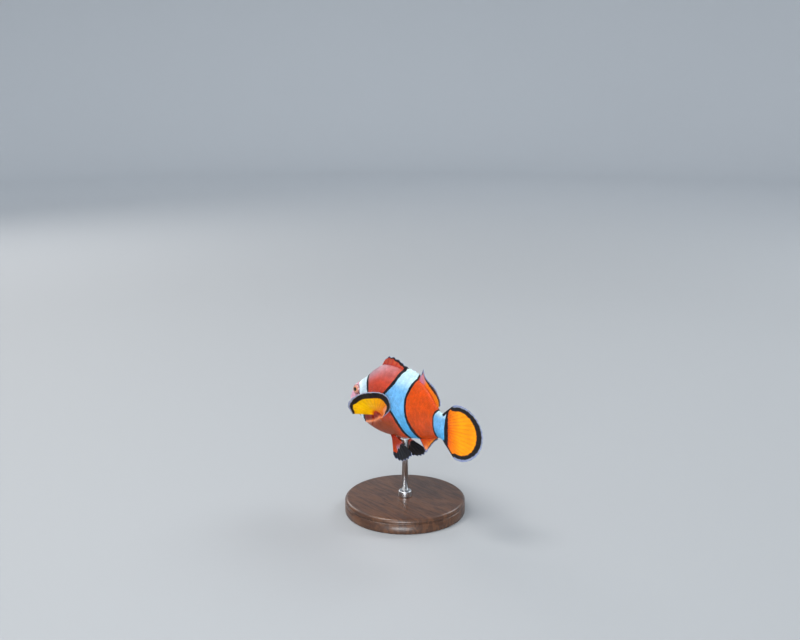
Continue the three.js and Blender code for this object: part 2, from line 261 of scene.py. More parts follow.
def rings(profile, sides):
    """A ring of points round the z axis for each [radius, height] of the profile."""
    radius, height = profile[:, :1], profile[:, 1:]
    across, along = radius * np.cos(around(sides)), radius * np.sin(around(sides))
    return np.stack(np.broadcast_arrays(across, along, height), -1).reshape(-1, 3)


def lathe(profile, sides):
    """Points and faces of a solid turned on the z axis. Its profile starts and ends on that axis."""
    profile = np.array(profile, float)
    ends = [[0, 0, profile[0, 1]], [0, 0, profile[-1, 1]]]
    points = np.vstack([rings(profile[1:-1], sides), ends])
    low_end, high_end = len(points) - 2, len(points) - 1
    faces = grid_faces(len(profile) - 2, sides, wrap=True)[:, ::-1].tolist()
    faces += fan_faces(low_end, range(sides - 1, -1, -1))
    faces += fan_faces(high_end, range(low_end - sides, low_end))
    return points, faces


# ---- colours ----

def paint(red, green, blue):
    """An sRGB colour, 0 to 255, in linear values."""
    shown = np.array([red, green, blue]) / 255
    return np.where(shown > 0.04, ((shown + 0.055) / 1.055) ** 2.4, shown / 12.92)


VIVID_ORANGE = paint(210, 72, 0)
DEEP_ORANGE = paint(200, 66, 0)
SALMON = paint(194, 66, 42)
# a pale mauve painted highlight along the nape, where the top light falls
NAPE_HIGHLIGHT_MAUVE = paint(186, 148, 158)
# the belly's darker brown-orange: partly its own darker orange, partly painted shade under the top
# light
BELLY_SHADE_AND_BROWN = paint(148, 56, 0)
FACE_PINK = paint(224, 160, 186)
LIP_PINK = paint(236, 176, 204)
BROW_PINK = paint(228, 158, 158)
# a salmon painted highlight along the lit ridge of the gill edge
GILL_HIGHLIGHT_SALMON = paint(255, 146, 92)
# dark red: the pelvic fins' roots, and painted shade on the body under the pectoral fin and in the gill
# crease
DARK_RED = paint(134, 18, 0)
HEAD_WHITE = paint(230, 242, 246)
BAND_WHITE = paint(200, 228, 236)
# painted blue cast of cool light on the white bands, bluer and darker lower down as painted shade
BAND_BLUE_CAST = paint(108, 174, 224)
BAND_DEEP_BLUE_CAST = paint(80, 166, 218)
MARGIN_BLACK = paint(14, 15, 22)
FRINGE_GREY = paint(122, 134, 168)
FIN_YELLOW = paint(255, 180, 0)
FIN_GOLD = paint(255, 138, 0)
FIN_ORANGE = paint(238, 106, 0)
FIN_RED = paint(190, 50, 6)
FIN_CRIMSON = paint(158, 54, 44)
FIN_PINK = paint(186, 112, 144)
FIN_SALMON = paint(255, 150, 108)


def layered(colour, *layers):
    """A colour with others laid over it, each given as (colour, weight)."""
    for over, weight in layers:
        colour = mix(colour, over, weight[..., None])
    return colour


def body_colour(u, h):
    """The ground colour between the bands: red in front, orange behind.

    Over it lie painted light and shade: a mauve highlight on the nape, a salmon highlight along
    the gill edge, a belly darkened partly by painted shade, and painted shade in the gill crease
    and under the pectoral fin.
    """
    front = smooth((33 - u) / 5)
    from_back = back(u) - h
    painted_nape_highlight = front * smooth((6.5 - from_back) / 6.5) * mix(0.95, 0.35, smooth((u - 17) / 10))
    chin = smooth((-h - 0.5) / 4.5)
    from_brow = np.hypot(u - EYE_U, h - EYE_H - 2.6)
    from_edge = from_path(u, h, GILL_EDGE)
    from_shadow = from_path(u, h, np.add(GILL_EDGE, (0.4, 1.8)))
    outside, rearward = gill_cover_distance(u, h)
    # painted shade: the gill cover's free edge is darkened where shade falls in its crease
    crease = ridge(outside - 0.15, 0.4) * gill_freedom(rearward)
    lips = ridge(h - mouth_height(u), 0.8) * smooth(4.2 - u)
    return layered(
        VIVID_ORANGE,
        (DEEP_ORANGE, 0.6 * smooth((-h - 2) / 6)),
        (SALMON, front),
        # painted highlight on the nape, palest near the back
        (NAPE_HIGHLIGHT_MAUVE, painted_nape_highlight),
        # a darker belly, partly its own colour and partly painted shade
        (BELLY_SHADE_AND_BROWN, 0.95 * front * smooth((-h - 1.2) / 4.5)),
        (FACE_PINK, (0.9 - 0.55 * chin) * smooth((11 - u) / 6)),
        (BROW_PINK, 0.8 * ridge(from_brow, 2.4)),
        # painted shadow under the pectoral fin, above the gill edge
        (DARK_RED, 0.9 * ridge(from_shadow, 1.5)),
        # painted shade in the crease along the gill cover's free edge
        (DARK_RED, 0.7 * crease),
        # painted highlight along the gill edge's ridge
        (GILL_HIGHLIGHT_SALMON, ridge(from_edge, 0.62)),
        (LIP_PINK, lips),
    )


def band_colour(u, h):
    """The bands are white near the back, whitest on the head, and lower down painted with a blue
    cast of cool light that darkens towards the belly as painted shade.
    """
    depth = (back(u) - h) / (back(u) - belly(u))
    return layered(
        BAND_WHITE,
        (BAND_BLUE_CAST, smooth((depth - 0.01) / 0.26)),
        (BAND_DEEP_BLUE_CAST, smooth((depth - 0.4) / 0.4)),
        (HEAD_WHITE, 0.75 * smooth((18 - u) / 2)),
    )


# ---- markings ----

# Each band's edges, from the belly up:
# [h, front of the black, front of the white, rear of the white, rear of the black].
HEAD_BAND = [
    [-11, 6.1, 6.6, 9.2, 10.6],
    [-7, 7.6, 8.1, 10.6, 12.0],
    [-5, 8.7, 9.2, 11.4, 12.9],
    [-3, 9.8, 10.3, 12.8, 14.3],
    [0, 10.4, 10.9, 14.9, 16.4],
    [3, 10.1, 10.6, 15.9, 17.2],
    [4.3, 9.8, 10.3, 15.8, 17.1],
    [5.3, 9.2, 9.7, 15.7, 16.8],
    [6.2, 8.7, 9.2, 15.3, 16.5],
    [7, 8.3, 8.8, 14.9, 16.2],
    [8, 7.1, 7.6, 14.4, 15.9],
    [9.5, 6.5, 7.0, 13.6, 15.3],
    [12, 6.3, 6.8, 12.0, 13.7],
]
MIDDLE_BAND = [
    [-10.5, 34.3, 36.3, 40.4, 42.4],
    [-9, 33.6, 35.4, 39.9, 41.8],
    [-7.5, 32.9, 34.5, 39.2, 41.2],
    [-6, 32.3, 33.8, 38.3, 40.5],
    [-4.5, 31.5, 33.1, 37.8, 39.6],
    [-3, 30.8, 32.4, 37.4, 38.9],
    [-1, 29.6, 31.1, 37.0, 38.2],
    [1, 27.9, 29.4, 36.8, 37.9],
    [3, 26.2, 27.8, 36.7, 37.8],
    [5, 25.1, 26.6, 36.7, 37.8],
    [6.5, 25.0, 26.4, 36.8, 37.9],
    [8, 26.2, 27.8, 37.2, 38.4],
    [9.5, 27.5, 29.2, 37.7, 39.0],
    [11, 28.7, 30.5, 38.0, 39.4],
    [12.5, 29.7, 31.2, 38.7, 39.9],
    [14, 30.4, 32.0, 39.4, 40.5],
    [15.2, 30.9, 32.5, 40.2, 41.4],
    [16.5, 31.5, 33.5, 41.3, 43.3],
    [19, 32.4, 34.6, 42.6, 44.0],
]
TAIL_BAND = [
    [-7, 55.2, 57.2, 61.3, 63.4],
    [-5, 54.6, 56.5, 61.4, 63.4],
    [-3.5, 54.4, 55.8, 61.6, 63.5],
    [-2, 54.3, 55.5, 61.7, 63.6],
    [0, 54.4, 55.4, 61.9, 63.6],
    [2, 54.4, 55.2, 62.1, 63.7],
    [3.5, 54.4, 55.4, 62.3, 63.8],
    [5, 55.3, 56.6, 62.7, 63.8],
    [7, 57.0, 58.4, 63.2, 64.4],
]


OUTSIDE = -9.0  # for a point that is far outside a marking


def band_fields(u, h):
    """How far a point is inside the bands' white and their black margins; below 0 is outside."""
    white = black = np.full(np.shape(u), OUTSIDE)
    for band in (HEAD_BAND, MIDDLE_BAND, TAIL_BAND):
        rows = np.array(band)
        height = np.clip(h, rows[0, 0], rows[-1, 0])
        edges = [through(rows[:, 0], rows[:, k], height) for k in range(1, 5)]
        outer_front, front, rear, outer_rear = edges
        white = np.maximum(white, np.minimum(u - front, rear - u))
        black = np.maximum(black, np.minimum(u - outer_front, outer_rear - u))
    return white, np.minimum(black, -white)


def body_marks(points):
    """The marking attributes of points on the body."""
    u, h = points[..., 0].ravel(), points[..., 1].ravel()
    white, black = band_fields(u, h)
    return {
        "ground": body_colour(u, h),
        "pale": band_colour(u, h),
        "white": white,
        "black": black,
        "fringe": np.full(len(u), OUTSIDE),
    }


# ---- materials ----

class Nodes:
    """Adds and links the nodes of one material."""

    def __init__(self, name, **uniform):
        self.material = bpy.data.materials.new(name)
        self.material.use_nodes = True
        self.tree = self.material.node_tree
        self.surface(**uniform)

    def surface(self, **inputs):
        """Sets or links the shader's inputs, named with _ for a space, and returns the material."""
        shader = self.tree.nodes["Principled BSDF"]
        for key, value in inputs.items():
            self.feed(shader.inputs[key.replace("_", " ")], value)
        return self.material

    def feed(self, socket, value):
        if isinstance(value, bpy.types.NodeSocket):
            self.tree.links.new(value, socket)
        else:
            socket.default_value = value

    def add(self, kind, inputs, **settings):
        node = self.tree.nodes.new("ShaderNode" + kind)
        for key, value in settings.items():
            setattr(node, key, value)
        for key, value in inputs.items():
            self.feed(node.inputs[key], value)
        return node.outputs[0]

    def mark(self, name, output="Fac"):
        """One of the mesh's point attributes, as a number or as a Color."""
        node = self.tree.nodes.new("ShaderNodeAttribute")
        node.attribute_name = name
        return node.outputs[output]

    def place(self, stretch=(1, 1, 1)):
        coordinates = self.tree.nodes.new("ShaderNodeTexCoord").outputs["Object"]
        return self.add("Mapping", {"Vector": coordinates, "Scale": stretch})

    def noise(self, scale, detail, roughness, vector):
        inputs = {"Scale": scale, "Detail": detail, "Roughness": roughness, "Vector": vector}
        return self.add("TexNoise", inputs)

    def calculate(self, operation, a, b=0.5):
        return self.add("Math", {0: a, 1: b}, operation=operation)

    def waves(self, value, rate):
        return self.calculate("SINE", self.calculate("MULTIPLY", value, rate))

    def spread(self, value, low, high, to_low=0.0, to_high=1.0):
        """value from low to high, as a smooth rise from to_low to to_high."""
        limits = {"From Min": low, "From Max": high, "To Min": to_low, "To Max": to_high}
        return self.add("MapRange", {"Value": value, **limits}, interpolation_type="SMOOTHSTEP")

    def from_noise(self, noise, low=0.0, high=1.0):
        """A noise's usual values, spread from low to high."""
        return self.spread(noise, 0.3, 0.7, low, high)

    def blend(self, factor, a, b, how="MIX"):
        return self.add("MixRGB", {"Fac": factor, "Color1": a, "Color2": b}, blend_type=how)

    def bump(self, height, distance, strength, **under):
        return self.add("Bump", {"Height": height, "Distance": distance, "Strength": strength, **under})


def solid_colour(rgb):
    return [float(c) for c in rgb] + [1.0]


def marked_colour(nodes, edge_softness):
    """The fish's colours from its marking attributes, with edges that waver a little."""
    place_on_fish = nodes.place()
    waver = nodes.from_noise(nodes.noise(900, 3, 0.6, place_on_fish), -0.1, 0.1)
    mottle = nodes.spread(nodes.noise(260, 4, 0.6, place_on_fish), 0.25, 0.75, 0.84, 1.1)
    speckle = nodes.from_noise(nodes.noise(2600, 2, 0.5, place_on_fish), 0.93, 1.05)
    shade = nodes.calculate("MULTIPLY", mottle, speckle)
    colour = nodes.blend(1.0, nodes.mark("ground", "Color"), shade, "MULTIPLY")
    pale = nodes.blend(0.55, nodes.mark("pale", "Color"), shade, "MULTIPLY")
    under_black = nodes.calculate("ADD", nodes.mark("white"), 0.2)
    layers = [
        (under_black, pale),
        (nodes.mark("black"), solid_colour(MARGIN_BLACK)),
        (nodes.mark("fringe"), solid_colour(FRINGE_GREY)),
    ]
    for field, layer in layers:
        inside = nodes.calculate("ADD", field, waver)
        weight = nodes.spread(inside, -edge_softness, edge_softness)
        colour = nodes.blend(weight, colour, layer)
    return colour


BODY_EDGE, FIN_EDGE = 0.1, 0.22  # how softly the markings end, in millimetres
BODY_FINISH = {
    "Roughness": 0.34,
    "Specular_IOR_Level": 0.3,
    "Coat_Weight": 0.08,
    "Subsurface_Radius": (0.0012, 0.0005, 0.0003),
}


def skin_material():
    nodes = Nodes("fish_skin", Coat_Roughness=0.1, Subsurface_Weight=0.12,
                  Subsurface_Scale=0.8, **BODY_FINISH)
    grain = nodes.noise(3200, 3, 0.6, nodes.place())
    folds = nodes.noise(700, 2, 0.5, nodes.place((1, 1, 1.6)))
    folded = nodes.bump(folds, 0.00006, 0.5)
    normal = nodes.bump(grain, 0.00004, 0.6, Normal=folded)
    return nodes.surface(Base_Color=marked_colour(nodes, BODY_EDGE), Normal=normal)


def scale_material():
    """The skin's colours, with scales that differ in tone and growth rings on each."""
    nodes = Nodes("fish_scales", Coat_Roughness=0.12, Subsurface_Weight=0.1,
                  Subsurface_Scale=0.6, **BODY_FINISH)
    tone = nodes.spread(nodes.mark("tone"), 0, 1, 0.9, 1.08)
    rim = nodes.spread(nodes.mark("ring"), 0.7, 1.0, 1.0, 0.86)
    shade = nodes.calculate("MULTIPLY", tone, rim)
    colour = nodes.blend(1.0, marked_colour(nodes, BODY_EDGE), shade, "MULTIPLY")
    circles = nodes.waves(nodes.mark("ring"), 44.0)
    return nodes.surface(Base_Color=colour, Normal=nodes.bump(circles, 0.00001, 0.6))


def fin_material():
    """Thin flesh that light shines into, with jointed rays."""
    nodes = Nodes("fish_fins", Roughness=0.42, Specular_IOR_Level=0.25,
                  Coat_Weight=0.04, Coat_Roughness=0.2, Subsurface_Weight=0.45,
                  Subsurface_Radius=(0.0014, 0.001, 0.0004), Subsurface_Scale=1.0)
    ray_shade = nodes.spread(nodes.mark("ray"), 0.1, 0.9, 1.06, 0.92)
    colour = nodes.blend(1.0, marked_colour(nodes, FIN_EDGE), ray_shade, "MULTIPLY")
    on_ray = nodes.calculate("MULTIPLY", nodes.waves(nodes.mark("reach"), 21.0), nodes.mark("ray"))
    jointed = nodes.bump(on_ray, 0.00002, 0.5)
    grain = nodes.noise(4000, 2, 0.5, nodes.place())
    return nodes.surface(Base_Color=colour, Normal=nodes.bump(grain, 0.00002, 0.5, Normal=jointed))


# ---- skin ----

MOUTH_U, MOUTH_H = 3.6, -1.7  # its corner
NOSTRIL_U, NOSTRIL_H = 3.9, 3.5
GILL_EDGE = [(23.1, -3.3), (20.9, -4.6), (18.5, -5.8), (15.4, -6.8), (12.6, -7.7), (9.5, -8.5)]


def mouth_height(u):
    """The mouth line slopes down from the snout's tip to the mouth's corner."""
    return mix(0.2, MOUTH_H, np.clip(np.asarray(u) / MOUTH_U, 0, 1.3) ** 0.9)


def from_segment(u, h, start, end):
    """The distance of (u, h) from the line between two points."""
    along = np.subtract(end, start)
    t = ((u - start[0]) * along[0] + (h - start[1]) * along[1]) / (along @ along)
    t = np.clip(t, 0, 1)
    return np.hypot(u - start[0] - t * along[0], h - start[1] - t * along[1])


def from_path(u, h, path):
    """The distance of (u, h) from a line through several points."""
    return np.minimum.reduce([from_segment(u, h, a, b) for a, b in zip(path[:-1], path[1:])])


def eye_relief(u, h):
    """The socket, the raised rim round it, the brow and the groove under the eye."""
    r = np.hypot(u - EYE_U, h - EYE_H)
    socket = -1.5 * (1 - smooth((r - 1.7) / 0.4))
    rim = 0.32 * ridge(r - 2.5, 0.45)
    brow = 0.14 * ridge(r - 3.1, 0.8) * smooth((h - EYE_H) / 1.5)
    cheek_groove = -0.12 * ridge(r - 3.9, 0.35) * smooth((EYE_H - h - 0.5) / 1.5)
    return socket + rim + brow + cheek_groove


def mouth_relief(u, h):
    d = h - mouth_height(u)
    present = 1 - smooth((u - MOUTH_U + 0.4) / 0.9)
    lips = 0.32 * ridge(np.abs(d) - 0.5, 0.32) - 0.42 * ridge(d, 0.14)
    jaw_bone = 0.16 * ridge(from_segment(u, h, (3.1, -1.0), (4.7, -3.6)), 0.45)
    chin_crease = -0.1 * ridge(from_segment(u, h, (4.2, -1.9), (5.6, -4.6)), 0.2)
    return lips * present + jaw_bone + chin_crease


def nostril_relief(u, h):
    r = np.hypot(u - NOSTRIL_U, h - NOSTRIL_H)
    return 0.15 * ridge(r - 0.44, 0.17) - 0.5 * ridge(r, 0.24)


def gill_cover_distance(u, h):
    """How far outside the gill cover's oval edge a point is, and how far to its rear, -1 to 1."""
    across = (u - GILL_U) * math.cos(GILL_LEAN) + (h - GILL_H) * math.sin(GILL_LEAN)
    along = (h - GILL_H) * math.cos(GILL_LEAN) - (u - GILL_U) * math.sin(GILL_LEAN)
    q = np.hypot(across / (GILL_LENGTH / 2), along / (GILL_HEIGHT / 2)) + 1e-6
    return (q - 1) * np.hypot(across, along) / q, across / (GILL_LENGTH / 2)


def gill_freedom(rearward):
    """1 at the gill cover's rear, where its edge is free of the body, and 0 elsewhere."""
    return smooth((rearward - 0.3) / 0.35)


def gill_relief(u, h):
    """The gill cover's free rear edge, its front groove and the membranes under the throat."""
    d, rearward = gill_cover_distance(u, h)
    rear = smooth((rearward + 0.1) / 0.5)
    flap = 0.4 * np.exp(-np.abs(d) / 1.7)
    slot = -0.36 * np.exp(-np.abs(d) / 0.7)
    step = mix(flap, slot, smooth((d + 0.12) / 0.24)) * gill_freedom(rearward)
    groove = -0.09 * ridge(d, 0.4) * (1 - rear)
    cheek_edge = -0.11 * ridge(d - 1.5, 0.22) * smooth((-rearward - 0.2) / 0.5)
    throat = -0.16 * ridge(from_segment(u, h, (6.2, -6.6), (13.4, -9.6)), 0.24)
    lit_edge = 0.3 * ridge(from_path(u, h, GILL_EDGE), 0.36)
    return step + groove + cheek_edge + throat + lit_edge


def root_relief(u, h, l):
    """The sheaths along the fins' roots and the pads that the pectoral fins grow from."""
    dorsal = smooth((u - 17) / 2) * smooth((56.5 - u) / 3) * ridge(l, 1.0) * (h > 0)
    anal = smooth((u - 38) / 2) * smooth((54.5 - u) / 2) * ridge(l, 0.9) * (h < 0)
    left, right = from_path(u, h, RAISED_ROOT), from_path(u, h, TRAILING_ROOT)
    pectoral = ridge(np.where(l > 0, left, right), 0.8)
    return 0.26 * dorsal + 0.24 * anal + 0.3 * pectoral


def relief(u, h, l):
    """How far the skin stands out from the frame's plain body. It lies a coat's depth inside."""
    lateral = smooth(np.abs(l) / 0.8)
    features = eye_relief(u, h) + nostril_relief(u, h) + gill_relief(u, h)
    inset = COAT_DEPTH * smooth(u / 1.5)
    return features * lateral + mouth_relief(u, h) + root_relief(u, h, l) - inset


def body_section(u, angle):
    """Points round the body. The angle is 0 on the left flank and a quarter turn on the back."""
    rise = np.sin(angle)
    middle, half_height = section(u)
    taper = smooth((u - TAPER_START) / (SKIN_END - TAPER_START))
    width = mix(half_width(u), SKIN_END_WIDTH, taper)
    side = width * np.cos(angle) * (1 - pinch(u) * rise ** 2)
    curved = u - SKIN_END_CURVE * taper * rise ** 2
    return np.stack(np.broadcast_arrays(curved, middle + half_height * rise, side), -1)


def grid_normals(grid):
    along = np.gradient(grid, axis=0)
    across = np.roll(grid, -1, axis=1) - np.roll(grid, 1, axis=1)
    return unit(np.cross(along, across))


class Skin:
    """The skin's surface as a fine grid, which the scales are laid over."""

    ARC_STEP = 0.1
    ARC_REACH = 24.0

    def __init__(self):
        head = np.linspace(math.sqrt(SKIN_START), math.sqrt(HEAD_END), HEAD_RINGS) ** 2
        rest = np.linspace(HEAD_END, SKIN_END, BODY_RINGS)[1:]
        self.stations = np.concatenate([head, rest])
        plain = body_section(self.stations[:, None], around(SKIN_SIDES) - math.pi / 2)
        u, h, l = np.moveaxis(plain, -1, 0)
        height = relief(u, h, l)[..., None]
        self.grid = plain + grid_normals(plain) * height
        self.normals = grid_normals(self.grid)
        self.measure_arcs()

    def measure_arcs(self):
        """Tables from the distance round the body, from the left flank's middle, to the angle."""
        steps = np.linalg.norm(np.roll(self.grid, -1, axis=1) - self.grid, axis=-1)
        first = SKIN_SIDES // 4 - SKIN_SIDES // 2
        order = np.arange(first, first + SKIN_SIDES + 1)
        lengths = steps[:, order[:-1] % SKIN_SIDES]
        arcs = np.concatenate([np.zeros((len(steps), 1)), np.cumsum(lengths, axis=1)], axis=1)
        arcs -= arcs[:, [SKIN_SIDES // 2]]
        turns = 2 * math.pi * order / SKIN_SIDES - math.pi / 2
        places = np.arange(-self.ARC_REACH, self.ARC_REACH, self.ARC_STEP)
        self.angle_table = np.stack([np.interp(places, row, turns) for row in arcs])
        self.back_arc = arcs[:, SKIN_SIDES * 3 // 4]
        self.belly_arc = arcs[:, SKIN_SIDES // 4]

    @staticmethod
    def read(table, row, column, wrap):
        """Reads a table between its rows and columns."""
        i = np.clip(np.floor(row).astype(int), 0, table.shape[0] - 2)
        j = np.floor(column).astype(int)
        if not wrap:
            j = np.clip(j, 0, table.shape[1] - 2)
        a, b = row - i, column - j
        if table.ndim == 3:
            a, b = a[..., None], b[..., None]
        j0, j1 = j % table.shape[1], (j + 1) % table.shape[1]
        near = table[i, j0] * (1 - b) + table[i, j1] * b
        far = table[i + 1, j0] * (1 - b) + table[i + 1, j1] * b
        return near * (1 - a) + far * a

    def row_of(self, u):
        return np.interp(u, self.stations, np.arange(len(self.stations)))

    def angle_at(self, u, arc):
        column = (arc + self.ARC_REACH) / self.ARC_STEP
        return self.read(self.angle_table, self.row_of(u), column, wrap=False)

    def at(self, u, angle):
        """The skin's point and normal, in body coordinates."""
        row = self.row_of(u)
        column = (angle + math.pi / 2) / (2 * math.pi) * SKIN_SIDES
        normal = unit(self.read(self.normals, row, column, wrap=True))
        return self.read(self.grid, row, column, wrap=True), normal


def build_skin(skin, material):
    count, sides = skin.grid.shape[:2]
    snout = skin.grid[0].mean(axis=0) - [SKIN_START, 0, 0]
    tail = skin.grid[-1].mean(axis=0)
    points = np.vstack([skin.grid.reshape(-1, 3), snout, tail])
    quads = grid_faces(count, sides, wrap=True)
    snout_number, tail_number = count * sides, count * sides + 1
    caps = fan_faces(snout_number, range(sides))
    caps += fan_faces(tail_number, range(count * sides - 1, (count - 1) * sides - 1, -1))
    i, j = np.divmod(quads[:, 0], sides)
    along = skin.stations / SKIN_END
    columns = np.stack([j, j, j + 1, j + 1], -1) / sides
    rows = np.stack([along[i], along[i + 1], along[i + 1], along[i]], -1)
    quad_uv = np.stack([rows, columns], -1).reshape(-1, 2)
    turn = np.arange(sides) / sides
    cap_uv = [[end, v] for end, order in ((0, turn), (1, turn[::-1])) for v in np.repeat(order, 3)]
    flesh = ["head", "lower_jaw", "gill_cover_left", "gill_cover_right"]
    flesh += ["trunk_front", "trunk_rear", "tail_stalk"]
    make_piece("skin", place(points), quads.tolist() + caps, material, flesh,
               body_marks(points), np.vstack([quad_uv, cap_uv]))


# ---- scales ----

SCALE_RINGS = (0.5, 0.82, 1.0)
SCALE_SIDES = 14
SCALES_START, SCALES_END = 9.6, 63.6
SCALE_ROWS = 22  # above the flank's middle, and below it
SCALE_LENGTH, SCALE_HALF_WIDTH = 1.95, 0.82  # in pitches, and in rows
SCALE_TUCK, SCALE_LIFT, SCALE_CROWN = -0.05, 0.15, 0.03  # at the root, free end and middle
SCALE_RIM_DROP, SCALE_UNDERSIDE = 0.02, -0.14
SCALE_PATCH = 0.003  # a scale's size on the UV map
SIZED_AT = [8, 14, 20, 27, 42, 53, 64]  # along the body, and the scales' sizes there
SCALE_SIZES = [0.56, 0.66, 0.84, 1.0, 0.96, 0.8, 0.62]


def scale_size(u):
    return through(SIZED_AT, SCALE_SIZES, np.clip(u, SIZED_AT[0], SIZED_AT[-1]))


def scale_template():
    """How far along and across a scale each of its points lies, its ring, and the faces."""
    angle = around(SCALE_SIDES)
    along, across, ring = [0.5], [0.0], [0.0]
    for radius in SCALE_RINGS:
        along.extend(0.5 + 0.5 * radius * np.cos(angle))
        across.extend(radius * np.sin(angle) * (1 - 0.12 * np.cos(angle)))
        ring.extend([radius] * SCALE_SIDES)
    along, across, ring = np.array(along + [0.5]), np.array(across + [0]), np.array(ring + [0])
    underneath = len(along) - 1
    quads = grid_faces(len(SCALE_RINGS), SCALE_SIDES, wrap=True, start=1)
    triangles = np.stack([quads[:, :3], quads[:, [0, 2, 3]]], 1).reshape(-1, 3).tolist()
    top = fan_faces(0, range(1, 1 + SCALE_SIDES)) + triangles
    under = fan_faces(underneath, range(underneath - 1, underneath - SCALE_SIDES - 1, -1))
    return along, across, ring, np.array(top + under)


def scale_roots():
    """Staggered rows of scale roots as (u, arc), all over the left side."""
    fine = np.linspace(SCALES_START, SCALES_END, 2000)
    columns = np.concatenate([[0], np.cumsum(np.diff(fine) / (SCALE_PITCH * scale_size(fine[1:])))])
    roots = []
    for row in range(-SCALE_ROWS, SCALE_ROWS + 1):
        stagger = 0.5 * (row % 2)
        u = np.interp(np.arange(int(columns[-1])) + stagger, columns, fine)
        roots.append(np.stack([u, row * SCALE_ROW * scale_size(u)], -1))
    return np.vstack(roots)


def bare(u, h):
    """True where no scales grow: the face, the front of the throat and the gill cover's edges."""
    near_eye = np.hypot(u - EYE_U, h - EYE_H) < 3.7
    face = (u < 10.2) & (h < 9.5 - 0.2 * u)
    throat = (h < -7.2) & (u < 14)
    d, rearward = gill_cover_distance(u, h)
    slot = (d > -1.45) & (d < 0.35) & (rearward > 0.25)
    lit_edge = from_path(u, h, GILL_EDGE) < 0.7
    return near_eye | face | throat | slot | lit_edge


def build_scales(skin, name, side, keep, material):
    """Lays scales over the skin on one side (1 left, -1 right), where keep(u) holds."""
    roots = scale_roots()
    angle = skin.angle_at(roots[:, 0], roots[:, 1])
    place_on_skin, _ = skin.at(roots[:, 0], angle)
    row, rows = skin.row_of(roots[:, 0]), np.arange(len(skin.stations))
    back_arc, belly_arc = np.interp(row, rows, skin.back_arc), np.interp(row, rows, skin.belly_arc)
    inside = (roots[:, 1] < back_arc - 0.05) & (roots[:, 1] > belly_arc + 0.05)
    roots = roots[inside & keep(roots[:, 0]) & ~bare(place_on_skin[:, 0], place_on_skin[:, 1])]

    along, across, ring, faces = scale_template()
    size = scale_size(roots[:, 0])[:, None]
    jitter = rng.uniform(0.93, 1.07, (len(roots), 3))
    u = roots[:, :1] + along * SCALE_LENGTH * SCALE_PITCH * size * jitter[:, :1]
    width = SCALE_HALF_WIDTH * SCALE_ROW * size * jitter[:, 1:2]
    arc = roots[:, 1:] * scale_size(u) / size + across * width
    point, normal = skin.at(u, skin.angle_at(u, arc))
    rise = SCALE_LIFT * along + SCALE_CROWN * (1 - across ** 2)
    lift = (SCALE_TUCK + rise * jitter[:, 2:]) * (0.55 + 0.45 * size) - SCALE_RIM_DROP * (ring == 1.0)
    lift[:, -1] = SCALE_UNDERSIDE
    point = point + normal * lift[..., None]
    point[..., 2] *= side

    count, corners = u.shape
    all_faces = (faces[None] + corners * np.arange(count)[:, None, None]).reshape(-1, 3)
    if side < 0:
        all_faces = all_faces[:, ::-1]
    flat = point.reshape(-1, 3)
    marks = body_marks(flat)
    marks["tone"] = np.repeat(rng.uniform(0, 1, count), corners)
    marks["ring"] = np.tile(np.hypot(along * 0.9, across * 0.5), count)
    turn = (skin.angle_at(roots[:, 0], roots[:, 1]) + math.pi / 2) / (2 * math.pi)
    map_u = roots[:, :1] / SKIN_END + SCALE_PATCH * (along - 0.5)
    map_v = turn[:, None] * 0.96 + 0.02 + SCALE_PATCH * 0.5 * across
    uv = np.stack([map_u, map_v], -1).reshape(-1, 2)[all_faces.ravel()]
    make_piece(name, place(flat), all_faces.tolist(), material, marks=marks, corner_uv=uv)


# ---- fins ----

@dataclass
class FinLook:
    """How a fin is built and coloured. Lengths are in millimetres.

    t runs from 0 at the fin's first ray to 1 at its last, and r from 0 to 1 along each ray.
    A list of widths is spread evenly over the fin's edge, from the first ray to the last.
    """
    rays: int
    ground: Callable  # the colour between the markings, of (t, r, u)
    black: list  # how far in from the edge the black margin reaches
    fringe: list  # how far in the pale line outside it does
    black_sides: tuple = (-1, -1)  # the same, in from the first ray and from the last
    fringe_sides: tuple = (-1, -1)
    banded: bool = False  # True where the body's bands run on over the fin
    forks: tuple = ()  # how far out the rays fork
    fineness: int = 12  # steps from ray to ray
    reach_steps: int = 64
    scallop: float = 0.02  # how far the membrane is cut back between the rays
    corner: float = 0.0  # how much shorter the first and last rays are
    membrane: float = 0.06  # half its thickness, as are the next two
    ray_height: float = 0.13
    swell: float = 0.12  # at the root
    swell_reach: float = 1.2
    wave: Callable = lambda t, r: 0 * t * r  # how far the fin bends sideways


def fin_ridges(t, r, count, forks):
    """1 along each fin ray and 0 between. A ray forks once or twice on its way out."""
    d = np.abs((t * count) % 1 - 0.5)
    for fork, reach in zip(forks, (0.24, 0.11)):
        d = np.abs(d - reach * smooth((r - fork) / (1.05 - fork)))
    width = mix(0.17, 0.07 if forks else 0.12, smooth(r))
    return ridge(d, width)


def margin_field(surface, t, widths, side_widths):
    """How far each point of a fin is inside a margin along its edge and its first and last rays."""
    gaps = np.linalg.norm(surface[:, :, None] - surface[None, None, :, -1], axis=-1)
    nearest = t[gaps.argmin(axis=-1), 0]
    width = through(np.linspace(0, 1, len(widths)), widths, nearest)
    first = np.linalg.norm(surface - surface[:1], axis=-1)
    last = np.linalg.norm(surface - surface[-1:], axis=-1)
    sides = np.maximum(side_widths[0] - first, side_widths[1] - last)
    return np.maximum(width - gaps.min(axis=-1), sides)


def fin_marks(look, surface, t, r, length, rays):
    """The marking attributes of a fin's points, once for each face."""
    u, h = surface[..., 0], surface[..., 1]
    white = black = np.full(u.shape, OUTSIDE)
    if look.banded:
        white, black = band_fields(u, h)
    margin = margin_field(surface, t, look.black, look.black_sides)
    marks = {
        "white": np.minimum(white, -margin),
        "black": np.maximum(black, margin),
        "fringe": margin_field(surface, t, look.fringe, look.fringe_sides),
        "ray": rays,
        "reach": r * length,
        "ground": look.ground(*np.broadcast_arrays(t, r), u),
        "pale": band_colour(u, h),
    }
    return {key: np.concatenate([value.reshape(-1, *value.shape[2:])] * 2)
            for key, value in marks.items()}


